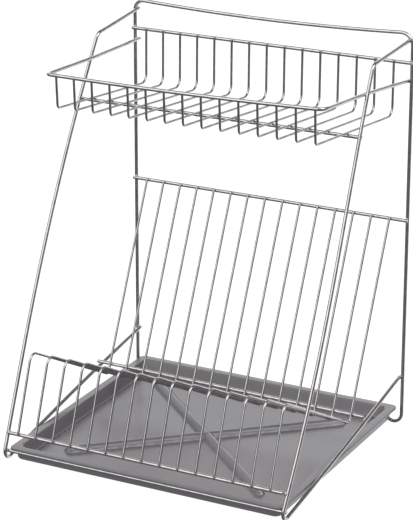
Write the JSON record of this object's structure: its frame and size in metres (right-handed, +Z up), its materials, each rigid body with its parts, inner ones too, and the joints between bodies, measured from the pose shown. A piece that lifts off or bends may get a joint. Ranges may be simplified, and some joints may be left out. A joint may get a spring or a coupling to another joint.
{
  "type": "dish drying rack",
  "caption": "Two-tier dish drying rack: bent steel wire frame with a cup basket on top, a slotted plate rack below and a loose plastic drip tray.",
  "frame": {"origin": "on the ground, under the middle of the rack", "axes": "+X to the right seen from the front, -Y to the front, +Z up"},
  "size_m": [0.4104, 0.3524, 0.5312],
  "materials": {
    "frame_wire": "bright drawn stainless wire, lightly brushed along its length",
    "rack_wire": "bright drawn stainless wire, thinner, lightly brushed along its length",
    "tray_plastic": "satin grey moulded plastic with a soft sheen"
  },
  "bodies": {
    "rack": {"rear_frame": "frame_wire", "side_frame_left": "frame_wire", "side_frame_right": "frame_wire", "basket_rear_rail": "frame_wire", "plate_rear_rail": "frame_wire", "basket_support_bar": "frame_wire", "plate_low_bar": "frame_wire", "plate_front_bar": "frame_wire", "tray_front_rail": "frame_wire", "basket_rim": "frame_wire", "basket_wire_01": "rack_wire", "basket_wire_02": "rack_wire", "basket_wire_03": "rack_wire", "basket_wire_04": "rack_wire", "basket_wire_05": "rack_wire", "basket_wire_06": "rack_wire", "basket_wire_07": "rack_wire", "basket_wire_08": "rack_wire", "basket_wire_09": "rack_wire", "basket_wire_10": "rack_wire", "basket_wire_11": "rack_wire", "basket_wire_12": "rack_wire", "basket_wire_13": "rack_wire", "basket_wire_14": "rack_wire", "basket_wire_15": "rack_wire", "plate_wire_01": "rack_wire", "plate_wire_02": "rack_wire", "plate_wire_03": "rack_wire", "plate_wire_04": "rack_wire", "plate_wire_05": "rack_wire", "plate_wire_06": "rack_wire", "plate_wire_07": "rack_wire", "plate_wire_08": "rack_wire", "plate_wire_09": "rack_wire", "plate_wire_10": "rack_wire", "plate_wire_11": "rack_wire", "plate_wire_12": "rack_wire", "plate_wire_13": "rack_wire", "plate_wire_14": "rack_wire", "plate_wire_15": "rack_wire"},
    "tray": {"drip_tray": "tray_plastic"}
  },
  "joints": [
    {"name": "tray_lift", "type": "slide", "parent": "rack", "child": "tray", "axis": [0, 0, 1], "range_m": [0, 0.012]}
  ]
}
